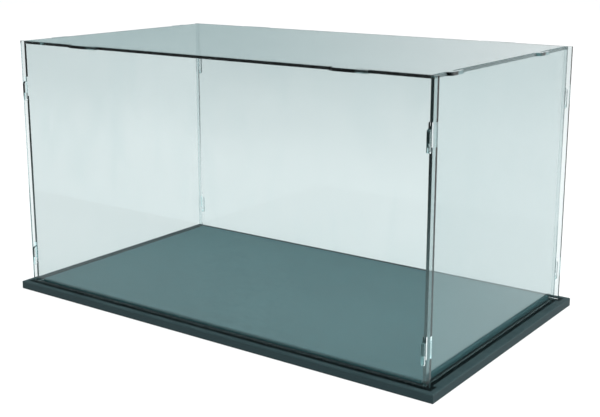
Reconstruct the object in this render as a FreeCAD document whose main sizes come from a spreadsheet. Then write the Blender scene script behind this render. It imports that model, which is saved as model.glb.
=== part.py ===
"""Display case for a scale model: five clear sheets hooked together, on a two-step base.

The origin is the middle of the base's underside. +X runs along the length,
the front faces -Y and +Z is up. All sizes are in millimetres.
"""
import FreeCAD
import Part
import os
import re
import Sketcher

SIZES = [
    # the clear cover
    ("case_length", 330.0, "front and rear panels, end to end"),
    ("case_depth", 187.0, "front face of the front panel to rear face of the rear panel"),
    ("panel_height", 176.0, "upright panels, bottom edge to top edge"),
    ("sheet", 2.0, "thickness of the clear sheet"),
    ("side_inset", 2.6, "how far the long panels reach past the side panels"),
    # the hooks on the side panels' upright edges
    ("hook_low", 13.2, "bottom edge of a side panel to the tip of its lower hooks"),
    ("hook_pitch", 121.0, "lower hook to upper hook"),
    ("hook_neck", 8.0, "height of the neck that goes through the slot"),
    ("hook_nose", 5.4, "how far the nose hangs below the neck"),
    ("hook_drop", 3.2, "how far a side panel drops to lock its hooks"),
    # the hooks on the top panel's edges
    ("long_neck", 16.0, "neck of the hooks along the length"),
    ("long_nose", 9.0, "nose of the hooks along the length"),
    ("long_hook_at", 51.0, "left end of the long panels to their first hook"),
    ("long_hook_pitch", 212.0, "first hook to second hook along the length"),
    ("short_neck", 8.8, "neck of the hooks along the depth"),
    ("short_nose", 5.8, "nose of the hooks along the depth"),
    ("right_hook_at", 17.0, "front of the case to the first hook on the right"),
    ("right_hook_pitch", 118.5, "first hook to second hook on the right"),
    ("left_hook_at", 27.0, "front of the case to the first hook on the left"),
    ("left_hook_pitch", 128.0, "first hook to second hook on the left"),
    # the outline that all hooks share
    ("nose_thick", 2.0, "thickness of a nose outside the panel it holds"),
    ("nose_round", 0.9, "rounding of a nose's tip"),
    ("shoulder_round", 1.8, "rounding of a hook's outer shoulder"),
    ("root_round", 1.9, "rounding where a hook leaves its panel"),
    # the base
    ("base_thick", 5.5, "thickness of the lower board"),
    ("ledge", 6.0, "lower board's rim outside the cover"),
    ("base_break", 0.4, "bevel along the lower board's upper edges"),
    ("plinth_thick", 2.5, "thickness of the raised plate"),
    ("plinth_round", 1.2, "rounding along the raised plate's upper edges"),
    # clearances
    ("seat_gap", 0.1, "under a panel or a neck that rests on something"),
    ("joint_gap", 0.1, "between a panel's edge and the panel it meets"),
    ("nose_gap", 0.1, "between a nose and the face it holds"),
    ("slot_gap", 0.15, "round a neck in its slot or notch"),
    ("plinth_gap", 2.5, "open groove between the raised plate and the cover"),
]

# Places that several pieces share, as formulas of the sizes above.
FOOT = "base_thick + seat_gap"
CROWN = f"({FOOT} + panel_height)"
END_X = "case_length / 2"
WALL_Y = "(case_depth - sheet) / 2"
SIDE_X = f"({END_X} - side_inset - sheet / 2)"
INNER_X = f"({END_X} - side_inset - sheet)"
INNER_Y = "(case_depth / 2 - sheet)"
EDGE_X = f"({INNER_X} - joint_gap)"
EDGE_Y = f"({INNER_Y} - joint_gap)"
LEFT_END = f"(-{END_X})"
FRONT_END = "(-case_depth / 2)"
SHOULDER = f"({FOOT} + hook_low + hook_nose + hook_neck)"
LOW_AND_HIGH = (SHOULDER, f"({SHOULDER} + hook_pitch)")
LONG_HOOKS = tuple(f"({LEFT_END} + long_hook_at + {n} * long_hook_pitch)" for n in (0, 1))
RIGHT_HOOKS = tuple(f"({FRONT_END} + right_hook_at + {n} * right_hook_pitch)" for n in (0, 1))
LEFT_HOOKS = tuple(f"({FRONT_END} + left_hook_at + {n} * left_hook_pitch)" for n in (0, 1))

document = FreeCAD.newDocument("display_case")
sheet = document.addObject("Spreadsheet::Sheet", "Sizes")
for row, (alias, value, note) in enumerate(SIZES, start=1):
    sheet.set(f"A{row}", note)
    sheet.set(f"B{row}", str(value))
    sheet.setAlias(f"B{row}", alias)
document.recompute()


def formula(text):
    """The text with each size's name pointing at its cell."""
    return re.sub(r"\b[a-z_]+\b(?!\()", lambda word: "Sizes." + word.group(), text)


def plane_of(body, role):
    return next(item for item in body.Origin.OriginFeatures if item.Role == role)


def sketch_on(body, name, role, offset):
    """An empty sketch parallel to one of the body's own planes."""
    sketch = body.newObject("Sketcher::SketchObject", name)
    sketch.AttachmentSupport = [(plane_of(body, role), "")]
    sketch.MapMode = "FlatFace"
    sketch.setExpression("AttachmentOffset.Base.z", formula(offset))
    return sketch


def pin(sketch, curve, end, x, y=None):
    """Hold a point of a curve at its formulas."""
    for kind, text in (("DistanceX", x), ("DistanceY", y)):
        if text is None:
            continue
        value = float(sketch.evalExpression(formula(text)))
        index = sketch.addConstraint(Sketcher.Constraint(kind, curve, end, value))
        sketch.setExpression(f"Constraints[{index}]", formula(text))


def trace(sketch, nodes):
    """Draw a closed outline.

    Each node is (x, y), reached by a straight line, or (x, y, cx, cy),
    reached by a quarter circle about (cx, cy).
    """
    def point(x, y):
        values = [float(sketch.evalExpression(formula(text))) for text in (x, y)]
        return FreeCAD.Vector(values[0], values[1], 0)

    spans = []
    for index, node in enumerate(nodes):
        last = nodes[index - 1]
        first, final = point(last[0], last[1]), point(node[0], node[1])
        if len(node) == 2:
            curve = sketch.addGeometry(Part.LineSegment(first, final))
            spans.append((curve, 1, 2))
            continue
        centre = point(node[2], node[3])
        half_way = (first + final) * 0.5 - centre
        half_way.normalize()
        middle = centre + half_way * (first - centre).Length
        curve = sketch.addGeometry(Part.Arc(first, middle, final))
        forward = (sketch.getPoint(curve, 1) - first).Length < 1e-6
        spans.append((curve, 1, 2) if forward else (curve, 2, 1))
        pin(sketch, curve, 3, node[2])
    for index, (curve, start, end) in enumerate(spans):
        following, its_start, _ = spans[(index + 1) % len(spans)]
        sketch.addConstraint(Sketcher.Constraint("Coincident", curve, end, following, its_start))
        pin(sketch, curve, end, nodes[index][0], nodes[index][1])


def rectangle(sketch, left, right, low, high):
    trace(sketch, [(left, low), (right, low), (right, high), (left, high)])


def hook(edge, shoulder, neck, nose, turn):
    """Outline of one hook, as nodes of (outward, along).

    The hook leaves the panel at edge. It is square to the edge on the neck,
    starts at shoulder and its nose points the way that turn says.
    """
    out = f"({edge} + joint_gap + sheet + nose_gap + nose_thick)"
    back = f"({edge} + joint_gap + sheet + nose_gap)"
    tip = "min(nose_round; nose_thick * 0.45)"
    brow = "min(shoulder_round; (sheet + nose_thick) * 0.45)"

    def along(distance):
        return f"({shoulder} {turn} ({distance}))"

    return [
        (edge, along("-root_round")),
        (f"{edge} + root_round", along("0"), f"{edge} + root_round", along("-root_round")),
        (f"{out} - {brow}", along("0")),
        (out, along(brow), f"{out} - {brow}", along(brow)),
        (out, along(f"{neck} + {nose} - {tip}")),
        (f"{out} - {tip}", along(f"{neck} + {nose}"),
         f"{out} - {tip}", along(f"{neck} + {nose} - {tip}")),
        (f"{back} + {tip}", along(f"{neck} + {nose}")),
        (back, along(f"{neck} + {nose} - {tip}"),
         f"{back} + {tip}", along(f"{neck} + {nose} - {tip}")),
        (back, along(neck)),
        (edge, along(neck)),
    ]


def laid(nodes, place):
    """The same outline in a sketch's own x and y."""
    return [sum((place(*node[k:k + 2]) for k in range(0, len(node), 2)), ()) for node in nodes]


def new_body(label):
    body = document.addObject("PartDesign::Body", label)
    body.Label = label
    return body


def pad(body, sketch, name, length, both_ways=True):
    feature = body.newObject("PartDesign::Pad", name)
    feature.Profile = sketch
    feature.SideType = "Symmetric" if both_ways else "One side"
    feature.setExpression("Length", formula(length))
    document.recompute()
    return feature


def cut_through(body, sketch, name):
    """Cut a sketch right through the panel, and see that it took material away."""
    before = body.Shape.Volume
    feature = body.newObject("PartDesign::Pocket", name)
    feature.Profile = sketch
    feature.SideType = "Symmetric"
    feature.Type = "ThroughAll"
    document.recompute()
    if feature.Shape.Volume > before - 1.0:
        raise RuntimeError(f"{body.Label}: {name} cut nothing")
    return feature


def mirror(body, feature, name, role):
    copy = body.newObject("PartDesign::Mirrored", name)
    copy.Originals = [feature]
    copy.MirrorPlane = (plane_of(body, role), [""])
    body.Tip = copy
    document.recompute()
    return copy


def notches(body, role, offset, starts, neck):
    """Open notches along a wall's top edge, for the necks of the top panel's hooks."""
    sketch = sketch_on(body, "notch_outline", role, offset)
    for start in starts:
        rectangle(
            sketch,
            f"{start} - root_round - slot_gap", f"{start} + {neck} + slot_gap",
            f"{CROWN} - sheet - seat_gap", f"{CROWN} + sheet",
        )
    cut_through(body, sketch, "notches")


def long_panel(label, side):
    """Front or rear panel: slots near both ends take the side panels' hooks."""
    body = new_body(label)
    offset = f"{side} {WALL_Y}"
    outline = sketch_on(body, "panel_outline", "XZ_Plane", offset)
    rectangle(outline, LEFT_END, END_X, FOOT, CROWN)
    pad(body, outline, "panel", "sheet")
    notches(body, "XZ_Plane", offset, LONG_HOOKS, "long_neck")
    slots = sketch_on(body, "slot_outline", "XZ_Plane", offset)
    half_wide = "(sheet / 2 + slot_gap)"
    for shoulder in LOW_AND_HIGH:
        high = f"{shoulder} + hook_drop + slot_gap"
        low = f"{high} - (hook_neck + hook_nose + 2 * slot_gap)"
        rectangle(slots, f"{SIDE_X} - {half_wide}", f"{SIDE_X} + {half_wide}", low, high)
    mirror(body, cut_through(body, slots, "right_slots"), "left_slots", "YZ_Plane")
    return body


def side_panel(label, side, starts):
    """Left or right panel: it stands between the long panels and hooks into both."""
    body = new_body(label)
    offset = f"{side} {SIDE_X}"
    outline = sketch_on(body, "panel_outline", "YZ_Plane", offset)
    rectangle(outline, f"-{EDGE_Y}", EDGE_Y, FOOT, CROWN)
    pad(body, outline, "panel", "sheet")
    notches(body, "YZ_Plane", offset, starts, "short_neck")
    hooks = sketch_on(body, "hook_outline", "YZ_Plane", offset)
    for shoulder in LOW_AND_HIGH:
        nodes = hook(EDGE_Y, shoulder, "hook_neck", "hook_nose", "-")
        trace(hooks, laid(nodes, lambda out, along: (f"-({out})", along)))
    mirror(body, pad(body, hooks, "front_hooks", "sheet"), "rear_hooks", "XZ_Plane")
    return body


def top_panel(label):
    """Top panel: it drops between the four walls, and its hooks hold them together."""
    body = new_body(label)
    offset = f"{CROWN} - sheet / 2"
    outline = sketch_on(body, "panel_outline", "XY_Plane", offset)
    rectangle(outline, f"-{EDGE_X}", EDGE_X, f"-{EDGE_Y}", EDGE_Y)
    pad(body, outline, "panel", "sheet")
    front = sketch_on(body, "front_hook_outline", "XY_Plane", offset)
    for start in LONG_HOOKS:
        nodes = hook(EDGE_Y, start, "long_neck", "long_nose", "+")
        trace(front, laid(nodes, lambda out, along: (along, f"-({out})")))
    mirror(body, pad(body, front, "front_hooks", "sheet"), "rear_hooks", "XZ_Plane")
    for name, starts, sign in (("right", RIGHT_HOOKS, ""), ("left", LEFT_HOOKS, "-")):
        sketch = sketch_on(body, f"{name}_hook_outline", "XY_Plane", offset)
        for start in starts:
            nodes = hook(EDGE_X, start, "short_neck", "short_nose", "+")
            trace(sketch, laid(nodes, lambda out, along: (f"{sign}({out})", along)))
        body.Tip = pad(body, sketch, f"{name}_hooks", "sheet")
    document.recompute()
    return body


def slab(label, floor, half_x, half_y, thickness):
    """A plain board lying flat, with the names of its four upper edges."""
    body = new_body(label)
    outline = sketch_on(body, "board_outline", "XY_Plane", floor)
    rectangle(outline, f"-({half_x})", half_x, f"-({half_y})", half_y)
    board = pad(body, outline, "board", thickness, both_ways=False)
    top = board.Shape.BoundBox.ZMax
    edges = [
        f"Edge{number}"
        for number, edge in enumerate(board.Shape.Edges, start=1)
        if abs(edge.BoundBox.ZMin - top) < 1e-6
    ]
    return body, board, edges


def base_board(label):
    body, board, edges = slab(
        label, "0", f"{END_X} + ledge", "case_depth / 2 + ledge", "base_thick",
    )
    bevel = body.newObject("PartDesign::Chamfer", "rim_bevel")
    bevel.Base = (board, edges)
    bevel.setExpression("Size", formula("base_break"))
    document.recompute()
    return body


def plinth_plate(label):
    body, board, edges = slab(
        label, "base_thick", f"{INNER_X} - plinth_gap", f"{INNER_Y} - plinth_gap", "plinth_thick",
    )
    rounding = body.newObject("PartDesign::Fillet", "rim_rounding")
    rounding.Base = (board, edges)
    rounding.setExpression("Radius", formula("plinth_round"))
    document.recompute()
    return body


# The XZ plane looks towards -Y, so a positive offset lies in front of it.
pieces = [
    base_board("base_board"),
    plinth_plate("plinth_plate"),
    long_panel("front_panel", ""),
    long_panel("rear_panel", "-"),
    side_panel("left_panel", "-", LEFT_HOOKS),
    side_panel("right_panel", "", RIGHT_HOOKS),
    top_panel("top_panel"),
]

document.recompute()
for item in document.Objects:
    if "Invalid" in item.State or "Error" in item.State:
        raise RuntimeError(f"{item.Label} did not build: {item.State}")
for piece in pieces:
    shape = piece.Shape
    if shape.isNull() or not shape.isValid() or len(shape.Solids) != 1:
        raise RuntimeError(f"{piece.Label} is not one sound solid")

os.makedirs("parts", exist_ok=True)
for piece in pieces:
    piece.Shape.exportStep(os.path.join("parts", f"{piece.Label}.step"))
    box = piece.Shape.BoundBox
    print(f"{piece.Label}: {box.XLength:.2f} x {box.YLength:.2f} x {box.ZLength:.2f} mm,"
          f" {piece.Shape.Volume:.0f} mm3")
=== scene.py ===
"""Display case: five clear tinted sheets hooked together over a dark two-step base.

The solids come packed from the CAD model and keep their shapes. This script gives them
their finishes, and sets the camera, the floor and the light. Lengths are in metres.
"""
from math import radians

import bmesh
import bpy
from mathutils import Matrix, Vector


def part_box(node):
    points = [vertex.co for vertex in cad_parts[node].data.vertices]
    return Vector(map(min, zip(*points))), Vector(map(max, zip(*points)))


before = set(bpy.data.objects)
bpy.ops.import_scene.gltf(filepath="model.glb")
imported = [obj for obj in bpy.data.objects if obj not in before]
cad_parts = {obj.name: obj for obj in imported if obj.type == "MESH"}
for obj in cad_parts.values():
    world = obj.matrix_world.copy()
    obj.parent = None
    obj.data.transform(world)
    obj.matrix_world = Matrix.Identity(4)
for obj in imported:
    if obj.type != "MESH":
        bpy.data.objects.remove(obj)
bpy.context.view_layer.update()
scene = bpy.context.scene

# Heights on the cover between which an effect fades in or out
FOOT_ZONE = (0.0060, 0.0070)
# Painted glow on the lower upright edges fades out between these heights
GLOW_ZONE = (0.055, 0.135)
# Painted shade on the sheet faces fades in between these heights
TOP_SHADE_ZONE = (0.105, 0.170)
CREST_ZONE = (0.176, 0.178)

# The cover's outline on the board: outer faces of the end and long panels, and the long panels' ends
END_FACE_X = 0.1624
LONG_FACE_Y = 0.0935
LONG_END_X = 0.1650
HALF_SHEET = 0.001

# How far outside the panels' outer faces their painted contact shadow on the board fades in and fades out
CONTACT_SHADOW_START = (-0.0023, -0.0020)
CONTACT_SHADOW_END = (0.0022, 0.0029)

CUT_ROUGHNESS = 0.08
ALONG_X = (1.0, 0.0, 0.0)
ALONG_Y = (0.0, 1.0, 0.0)
ALONG_Z = (0.0, 0.0, 1.0)


def rgb(red, green, blue):
    return (red, green, blue, 1.0)


# Node helpers
def put(tree, kind, **settings):
    """Add one node and set its plain properties."""
    node = tree.nodes.new(kind)
    for name, value in settings.items():
        setattr(node, name, value)
    return node


def feed(tree, socket, value):
    """Join an output to an input, or write a plain value on it."""
    if isinstance(value, bpy.types.NodeSocket):
        tree.links.new(value, socket)
    else:
        socket.default_value = value


def feed_all(tree, node, **values):
    """Feed several named inputs of a node. An underscore in a name stands for a space."""
    for name, value in values.items():
        feed(tree, node.inputs[name.replace("_", " ")], value)


def maths(tree, operation, a, b=0.0, c=0.0, clamp=False):
    node = put(tree, "ShaderNodeMath", operation=operation, use_clamp=clamp)
    for socket, value in zip(node.inputs, (a, b, c)):
        feed(tree, socket, value)
    return node.outputs[0]


def vectors(tree, operation, a, b=(0.0, 0.0, 0.0), out=0):
    node = put(tree, "ShaderNodeVectorMath", operation=operation)
    feed(tree, node.inputs[0], a)
    feed(tree, node.inputs[1], b)
    return node.outputs[out]


def dot(tree, a, b):
    return vectors(tree, "DOT_PRODUCT", a, b, out=1)


def parts_of(tree, vector):
    """The X, Y and Z outputs of a vector."""
    node = put(tree, "ShaderNodeSeparateXYZ")
    feed(tree, node.inputs[0], vector)
    return node.outputs


def speckle(tree, where, scale, detail=3.0, roughness=0.5, distortion=0.0):
    node = put(tree, "ShaderNodeTexNoise")
    feed_all(tree, node, Vector=where, Scale=scale, Detail=detail, Roughness=roughness, Distortion=distortion)
    return node.outputs["Fac"]


def spread(tree, value, low, high, to_low, to_high, soft=True):
    """Map the range low to high onto to_low to to_high."""
    node = put(tree, "ShaderNodeMapRange", interpolation_type="SMOOTHSTEP" if soft else "LINEAR")
    feed_all(tree, node, Value=value, From_Min=low, From_Max=high, To_Min=to_low, To_Max=to_high)
    return node.outputs["Result"]


def between(tree, share, a, b):
    """A value that goes evenly from a to b as share goes from 0 to 1."""
    return spread(tree, share, 0.0, 1.0, a, b, soft=False)


def blend(tree, share, a, b, kind="RGBA"):
    node = put(tree, "ShaderNodeMix", data_type=kind)
    feed_all(tree, node, Factor=share, A=a, B=b)
    return node.outputs["Result"]


def mix_shaders(tree, share, first, second):
    node = put(tree, "ShaderNodeMixShader")
    for socket, value in zip(node.inputs, (share, first.outputs[0], second.outputs[0])):
        feed(tree, socket, value)
    return node


def new_group(name, inputs, outputs):
    """A shader node group with named sockets. Returns (group, input sockets, output sockets)."""
    group = bpy.data.node_groups.new(name, "ShaderNodeTree")
    for label, kind, value in inputs:
        socket = group.interface.new_socket(name=label, in_out="INPUT", socket_type=kind)
        if value is not None:
            socket.default_value = value
    for label, kind in outputs:
        group.interface.new_socket(name=label, in_out="OUTPUT", socket_type=kind)
    return group, put(group, "NodeGroupInput").outputs, put(group, "NodeGroupOutput").inputs


def new_material(name):
    material = bpy.data.materials.new(name)
    material.use_nodes = True
    tree = material.node_tree
    tree.nodes.clear()
    return material, tree, put(tree, "ShaderNodeOutputMaterial")


# Shared finishes
def make_sheet_detail():
    """Cast sheet: faint waves and wiped smears on its faces, fine lines from the cutter on its edges."""
    group, given, made = new_group(
        "sheet_detail",
        [
            ("Position", "NodeSocketVector", None),
            ("Normal", "NodeSocketVector", None),
            ("Facing", "NodeSocketVector", None),
            ("Handled", "NodeSocketFloat", 0.0),
            ("Stain", "NodeSocketColor", rgb(1.0, 1.0, 1.0)),
            ("Crest", "NodeSocketFloat", CUT_ROUGHNESS),
        ],
        [
            ("Tint", "NodeSocketColor"),
            ("Roughness", "NodeSocketFloat"),
            ("Height", "NodeSocketFloat"),
            ("Foot", "NodeSocketFloat"),
            ("PaintedGlow", "NodeSocketColor"),
        ],
    )
    place = given["Position"]
    normal = given["Normal"]
    facing = given["Facing"]
    height = parts_of(group, place)["Z"]
    turned = maths(group, "ABSOLUTE", dot(group, normal, facing))
    edge = spread(group, turned, 0.45, 0.75, 1.0, 0.0)

    waves = speckle(group, place, 14.0, 1.0)
    smears = speckle(group, vectors(group, "MULTIPLY", place, (1.0, 1.0, 0.35)), 34.0, 5.0, 0.62, 0.6)
    film = spread(group, smears, 0.46, 0.72, 0.0, 1.0)
    drawn_out = vectors(group, "MULTIPLY", facing, (0.96, 0.96, 0.96))
    across = vectors(group, "SUBTRACT", (1.0, 1.0, 1.0), drawn_out)
    cut_lines = speckle(group, vectors(group, "MULTIPLY", place, across), 1900.0, 2.0, 0.6)

    # Hands lift the cover by its top, and leave a soft film there.
    # Painted shade: the faces darken towards the top of the cover, in cloudy patches.
    cloud = speckle(group, vectors(group, "MULTIPLY", place, (1.0, 1.0, 1.6)), 7.0, 2.0, 0.5)
    shade_height = maths(group, "MULTIPLY_ADD", cloud, 0.05, maths(group, "SUBTRACT", height, 0.025))
    painted_top_shade = maths(group, "MULTIPLY", spread(group, shade_height, *TOP_SHADE_ZONE, 0.0, 1.0), given["Handled"])
    clean = blend(group, film, rgb(0.985, 1.0, 1.0), rgb(0.955, 0.982, 0.984))
    faces = blend(group, painted_top_shade, clean, rgb(0.62, 0.68, 0.69))
    faces = vectors(group, "MULTIPLY", faces, given["Stain"])
    feed(group, made["Tint"], blend(group, edge, faces, rgb(0.80, 0.97, 0.98)))

    # The level edges are the foot, which stands close on the board, and the crest of the walls.
    level = spread(group, maths(group, "ABSOLUTE", parts_of(group, normal)["Z"]), 0.6, 0.9, 0.0, 1.0)
    foot = maths(group, "MULTIPLY", level, spread(group, height, *FOOT_ZONE, 1.0, 0.0))
    crest = maths(group, "MULTIPLY", level, spread(group, height, *CREST_ZONE, 0.0, 1.0))
    feed(group, made["Foot"], foot)

    # Painted glow: the lower upright edges give off a faint teal light, standing in for light from the pale
    # floor that runs up inside the sheet.
    painted_glow = maths(group, "MULTIPLY", edge, spread(group, height, *GLOW_ZONE, 1.0, 0.0))
    painted_glow = maths(group, "MULTIPLY", painted_glow, maths(group, "SUBTRACT", 1.0, foot))
    feed(group, made["PaintedGlow"], blend(group, painted_glow, rgb(0.0, 0.0, 0.0), rgb(0.55, 0.97, 1.0)))

    polish = maths(group, "MULTIPLY_ADD", film, 0.022, 0.006)
    sawn = maths(group, "MULTIPLY_ADD", cut_lines, 0.10, 0.03)
    sawn = between(group, crest, sawn, given["Crest"])
    feed(group, made["Roughness"], between(group, edge, polish, sawn))
    feed(group, made["Height"], between(group, edge, waves, cut_lines))
    return group


def make_board_grain():
    """Dark pressed board: drawn-out grain, fine pores and cloudy patches."""
    group, given, made = new_group(
        "board_grain",
        [
            ("Position", "NodeSocketVector", None),
            ("Along", "NodeSocketVector", (1.0, 1.0, 1.0)),
            ("Fineness", "NodeSocketFloat", 1.0),
        ],
        [("Grain", "NodeSocketFloat"), ("Cloud", "NodeSocketFloat"), ("Pores", "NodeSocketFloat")],
    )
    place = given["Position"]
    drawn = vectors(group, "MULTIPLY", place, given["Along"])
    grain_scale = maths(group, "MULTIPLY", given["Fineness"], 420.0)
    pore_scale = maths(group, "MULTIPLY", given["Fineness"], 2600.0)
    feed(group, made["Grain"], speckle(group, drawn, grain_scale, 5.0, 0.6, 0.3))
    feed(group, made["Cloud"], speckle(group, place, 16.0, 3.0, 0.55))
    feed(group, made["Pores"], speckle(group, place, pore_scale, 2.0, 0.5))
    return group


sheet_detail = make_sheet_detail()
board_grain = make_board_grain()


def clear_sheet(name, facing, depth, stain, top_shade, ior, gloss, crest=CUT_ROUGHNESS):
    """Tinted clear sheet whose broad faces look along facing.

    Depth is how strongly its body tints, stain the tint of its faces, top shade how much painted
    shade darkens its faces towards the top, gloss the tint of what it mirrors, and crest the roughness of its
    top edge.
    """
    material, tree, out = new_material(name)
    read = put(tree, "ShaderNodeTexCoord").outputs
    detail = put(tree, "ShaderNodeGroup", node_tree=sheet_detail)
    feed_all(tree, detail, Position=read["Object"], Normal=read["Normal"], Facing=facing)
    feed_all(tree, detail, Handled=top_shade, Stain=stain, Crest=crest)

    relief = put(tree, "ShaderNodeBump")
    feed_all(tree, relief, Height=detail.outputs["Height"], Strength=0.25, Distance=0.00006)

    # The foot lies so close on the board that light goes straight on into it, so its normal looks outward.
    side = maths(tree, "SIGN", dot(tree, read["Object"], facing))
    outward = put(tree, "ShaderNodeVectorTransform", vector_type="NORMAL")
    outward.convert_from = "OBJECT"
    outward.convert_to = "WORLD"
    feed(tree, outward.inputs[0], vectors(tree, "MULTIPLY", facing, side))
    pressed = blend(tree, detail.outputs["Foot"], relief.outputs["Normal"], outward.outputs[0], "VECTOR")

    plastic = put(tree, "ShaderNodeBsdfPrincipled")
    feed_all(tree, plastic, Base_Color=detail.outputs["Tint"], Roughness=detail.outputs["Roughness"])
    # Painted glow: the lower upright edges emit a faint light, though the sheet is no lamp.
    feed_all(tree, plastic, Emission_Color=detail.outputs["PaintedGlow"], Emission_Strength=0.045, Normal=pressed)
    feed_all(tree, plastic, Transmission_Weight=1.0, IOR=ior, Specular_Tint=gloss)

    # Lamps and the light that bounces inside pass straight through, a little tinted.
    rays = put(tree, "ShaderNodeLightPath").outputs
    passing = put(tree, "ShaderNodeBsdfTransparent")
    feed(tree, passing.inputs["Color"], rgb(0.90, 0.94, 0.94))
    for_bounces = mix_shaders(tree, rays["Is Diffuse Ray"], plastic, passing)
    for_lamps = mix_shaders(tree, rays["Is Shadow Ray"], for_bounces, passing)
    feed(tree, out.inputs["Surface"], for_lamps.outputs[0])

    body_tint = put(tree, "ShaderNodeVolumeAbsorption")
    feed_all(tree, body_tint, Color=rgb(0.09, 0.30, 0.31), Density=depth)
    feed(tree, out.inputs["Volume"], body_tint.outputs[0])
    return material


def seat_shade_masks(tree, part):
    """Masks of painted shade on the board: all that the panels shut in, and a painted contact shadow along
    their feet.
    """
    along_x = maths(tree, "ABSOLUTE", part["X"])
    along_y = maths(tree, "ABSOLUTE", part["Y"])
    past_end = maths(tree, "SUBTRACT", along_x, END_FACE_X)
    past_side = maths(tree, "SUBTRACT", along_y, LONG_FACE_Y)
    inner = maths(tree, "MAXIMUM", past_end, past_side)
    from_middle = maths(tree, "ABSOLUTE", maths(tree, "SUBTRACT", along_y, LONG_FACE_Y - HALF_SHEET))
    strip = maths(tree, "SUBTRACT", from_middle, HALF_SHEET)
    long_feet = maths(tree, "MAXIMUM", maths(tree, "SUBTRACT", along_x, LONG_END_X), strip)
    outside = maths(tree, "MINIMUM", inner, long_feet)
    painted_under_cover = spread(tree, outside, *CONTACT_SHADOW_END, 1.0, 0.0)
    painted_contact_shadow = maths(tree, "MULTIPLY", painted_under_cover, spread(tree, outside, *CONTACT_SHADOW_START, 0.0, 1.0))
    return painted_under_cover, painted_contact_shadow


def dark_board(name, node, along, dark, pale, rough, seat=False, fineness=1.0):
    """Slate-dark board or plate, a little paler along its edges, where hands rub it.

    Seat says if the cover stands on it; then shade is painted on it under the cover and along the panels'
    feet.
    """
    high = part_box(node)[1]
    material, tree, out = new_material(name)
    read = put(tree, "ShaderNodeTexCoord").outputs
    part = parts_of(tree, read["Object"])
    texture = put(tree, "ShaderNodeGroup", node_tree=board_grain)
    feed_all(tree, texture, Position=read["Object"], Along=along, Fineness=fineness)
    grain = texture.outputs["Grain"]
    cloud = texture.outputs["Cloud"]
    pores = texture.outputs["Pores"]

    # How near a point is to the outer edges, in the board's own plan.
    to_end = maths(tree, "SUBTRACT", maths(tree, "ABSOLUTE", part["X"]), high[0])
    to_side = maths(tree, "SUBTRACT", maths(tree, "ABSOLUTE", part["Y"]), high[1])
    to_top = maths(tree, "SUBTRACT", part["Z"], high[2])
    corner = maths(tree, "ADD", to_top, maths(tree, "MAXIMUM", to_end, to_side))
    rubbed = spread(tree, corner, -0.0012, -0.0003, 0.0, 1.0)
    rubbed = maths(tree, "MULTIPLY", rubbed, spread(tree, cloud, 0.35, 0.65, 0.35, 1.0))

    mottled = maths(tree, "MULTIPLY_ADD", grain, 0.62, maths(tree, "MULTIPLY", cloud, 0.38))
    shade = blend(tree, spread(tree, mottled, 0.36, 0.64, 0.0, 1.0), dark, pale)
    # Painted shade: the upright faces take only the dark tone, darker than the mottled tops.
    painted_side_shade = spread(tree, parts_of(tree, read["Normal"])["Z"], 0.25, 0.95, 1.0, 0.0)
    shade = blend(tree, painted_side_shade, shade, dark)

    board = put(tree, "ShaderNodeBsdfPrincipled")
    # Painted shade: the board under the cover and just outside the panels is darkened, and a painted black
    # contact shadow, kept black by a metallic finish, runs along the panels' feet.
    if seat:
        painted_under_cover, painted_contact_shadow = seat_shade_masks(tree, part)
        shade = blend(tree, painted_under_cover, shade, rgb(0.005, 0.011, 0.012))
        shade = blend(tree, painted_contact_shadow, shade, rgb(0.001, 0.002, 0.002))
        feed(tree, board.inputs["Metallic"], painted_contact_shadow)
    worn = rgb(*(min(1.0, value * 1.7) for value in pale[:3]))
    shade = blend(tree, maths(tree, "MULTIPLY", rubbed, 0.15), shade, worn)

    uneven = maths(tree, "MULTIPLY_ADD", cloud, 0.16, rough - 0.08)
    uneven = maths(tree, "MULTIPLY_ADD", pores, 0.06, uneven)
    uneven = maths(tree, "SUBTRACT", uneven, maths(tree, "MULTIPLY", rubbed, 0.08), clamp=True)
    relief = put(tree, "ShaderNodeBump")
    bumps = maths(tree, "MULTIPLY_ADD", pores, 0.5, grain)
    feed_all(tree, relief, Height=bumps, Strength=0.22, Distance=0.00012)

    feed_all(tree, board, Base_Color=shade, Roughness=uneven, Normal=relief.outputs["Normal"])
    feed_all(tree, board, IOR=1.47, Specular_IOR_Level=0.30, Specular_Tint=rgb(0.82, 0.97, 1.0))
    feed(tree, out.inputs["Surface"], board.outputs[0])
    return material


def finish_with(material, *nodes):
    for node in nodes:
        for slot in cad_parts[node].material_slots:
            slot.material = material


# Painted light: these are copies of one clear sheet. The right sheet mirrors more strongly and in teal, with
# darker faces and body, a painted haze of the lamps on its side; the long sheets mirror weakly, a painted
# shade.
long_sheet = clear_sheet(
    "long_sheet", ALONG_Y, 35.0, rgb(0.880, 0.906, 0.907), 0.30, 1.49, rgb(0.55, 0.55, 0.55)
)
left_sheet = clear_sheet(
    "left_sheet", ALONG_X, 31.0, rgb(0.886, 0.911, 0.912), 0.05, 1.49, rgb(0.80, 0.95, 0.96)
)
right_sheet = clear_sheet(
    "right_sheet", ALONG_X, 60.0, rgb(0.725, 0.768, 0.772), 0.05, 1.70, rgb(0.55, 0.97, 1.0), crest=0.60
)
top_sheet = clear_sheet(
    "top_sheet", ALONG_Z, 34.0, rgb(0.840, 0.868, 0.870), 0.0, 1.49, rgb(0.80, 0.95, 0.96)
)
slate_board = dark_board(
    "slate_board",
    "base_board",
    along=(0.10, 0.45, 1.0),
    dark=rgb(0.009, 0.023, 0.026),
    pale=rgb(0.019, 0.037, 0.040),
    rough=0.60,
    seat=True,
)
slate_plate = dark_board(
    "slate_plate",
    "plinth_plate",
    along=(0.25, 0.6, 1.0),
    dark=rgb(0.040, 0.095, 0.103),
    pale=rgb(0.053, 0.116, 0.125),
    rough=0.55,
    fineness=1.3,
)
finish_with(long_sheet, "front_panel", "rear_panel")
finish_with(left_sheet, "left_panel")
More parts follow.
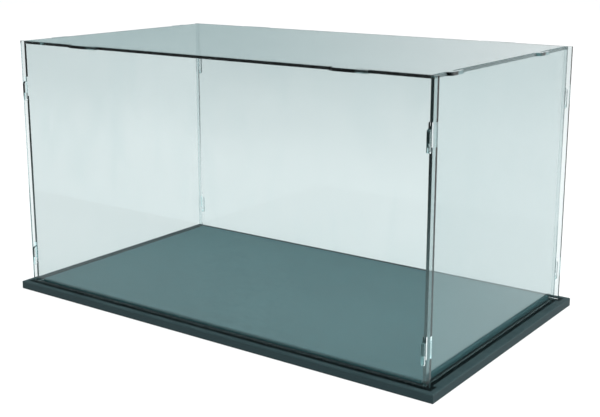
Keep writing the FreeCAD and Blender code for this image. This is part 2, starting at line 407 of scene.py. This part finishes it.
finish_with(right_sheet, "right_panel")
finish_with(top_sheet, "top_panel")
finish_with(slate_board, "base_board")
finish_with(slate_plate, "plinth_plate")


# Camera
eye = bpy.data.cameras.new("photo_view")
eye.sensor_width = 36.0
eye.lens = 63.6
eye.shift_y = -0.05
eye.clip_end = 60.0
camera = bpy.data.objects.new("photo_view", eye)
camera.location = (0.4287, -0.5850, 0.2528)
camera.rotation_euler = (radians(90.0 - 12.87), 0.0, radians(35.65))
scene.collection.objects.link(camera)
scene.camera = camera


# Floor, world and lamps
def studio_paper():
    """Pale paper, white to the camera. In gloss and through the sheets it greys towards the front left,
    away from the lamps: a painted shade on the paper."""
    material, tree, out = new_material("studio_paper")
    rays = put(tree, "ShaderNodeLightPath").outputs
    seen = maths(tree, "MAXIMUM", rays["Is Camera Ray"], rays["Is Glossy Ray"])
    seen = maths(tree, "MAXIMUM", seen, rays["Is Transmission Ray"])

    where = put(tree, "ShaderNodeTexCoord").outputs["Object"]
    # Painted shade: for all but camera rays the paper greys towards the front left, more steeply in gloss.
    forward = dot(tree, where, (-0.35, -0.937, 0.0))
    not_camera = maths(tree, "SUBTRACT", 1.0, rays["Is Camera Ray"])
    far_grey = maths(tree, "MULTIPLY", spread(tree, forward, 0.20, 1.25, 0.0, 1.0), not_camera)
    near_grey = maths(tree, "MULTIPLY", spread(tree, forward, 0.05, 0.60, 0.0, 1.0), rays["Is Glossy Ray"])
    painted_falloff = maths(tree, "MAXIMUM", far_grey, near_grey)

    paper = put(tree, "ShaderNodeBsdfDiffuse")
    feed(tree, paper.inputs["Color"], blend(tree, painted_falloff, rgb(0.86, 0.87, 0.87), rgb(0.42, 0.43, 0.43)))
    white = put(tree, "ShaderNodeEmission")
    feed(tree, white.inputs["Color"], blend(tree, painted_falloff, rgb(1.0, 1.0, 1.0), rgb(0.10, 0.11, 0.11)))
    white.inputs["Strength"].default_value = 1.0
    lifted = mix_shaders(tree, maths(tree, "MULTIPLY", seen, 0.70), paper, white)
    feed(tree, out.inputs["Surface"], lifted.outputs[0])
    material.cycles.emission_sampling = "NONE"
    return material


def pale_floor():
    shape = bmesh.new()
    bmesh.ops.create_grid(shape, x_segments=1, y_segments=1, size=14.0)
    mesh = bpy.data.meshes.new("studio_floor")
    shape.to_mesh(mesh)
    shape.free()
    mesh.materials.append(studio_paper())
    floor = bpy.data.objects.new("studio_floor", mesh)
    scene.collection.objects.link(floor)


def white_room():
    """Pale room all round, with one dim corner low behind the left end."""
    world = bpy.data.worlds.new("white_room")
    world.use_nodes = True
    tree = world.node_tree
    tree.nodes.clear()
    out = put(tree, "ShaderNodeOutputWorld")
    way = put(tree, "ShaderNodeTexCoord").outputs["Generated"]
    dim_corner = spread(tree, dot(tree, way, (-0.874, 0.465, 0.139)), 0.66, 0.985, 0.0, 1.0)
    room = put(tree, "ShaderNodeBackground")
    feed(tree, room.inputs["Color"], blend(tree, dim_corner, rgb(0.96, 0.98, 0.985), rgb(0.36, 0.48, 0.49)))
    feed(tree, out.inputs["Surface"], room.outputs[0])
    scene.world = world


def soft_lamp(name, place, turn, size, watts):
    lamp = bpy.data.lights.new(name, "AREA")
    lamp.shape = "RECTANGLE"
    lamp.size, lamp.size_y = size
    lamp.energy = watts
    holder = bpy.data.objects.new(name, lamp)
    holder.location = place
    holder.rotation_euler = tuple(radians(angle) for angle in turn)
    scene.collection.objects.link(holder)


pale_floor()
white_room()
soft_lamp("right_softbox", (3.0, -0.6, 1.9), (60.0, 0.0, 78.0), (2.4, 1.8), 90.0)
soft_lamp("top_softbox", (-0.3, 0.4, 3.4), (0.0, 0.0, 0.0), (2.8, 2.2), 70.0)

scene.view_settings.view_transform = "Standard"
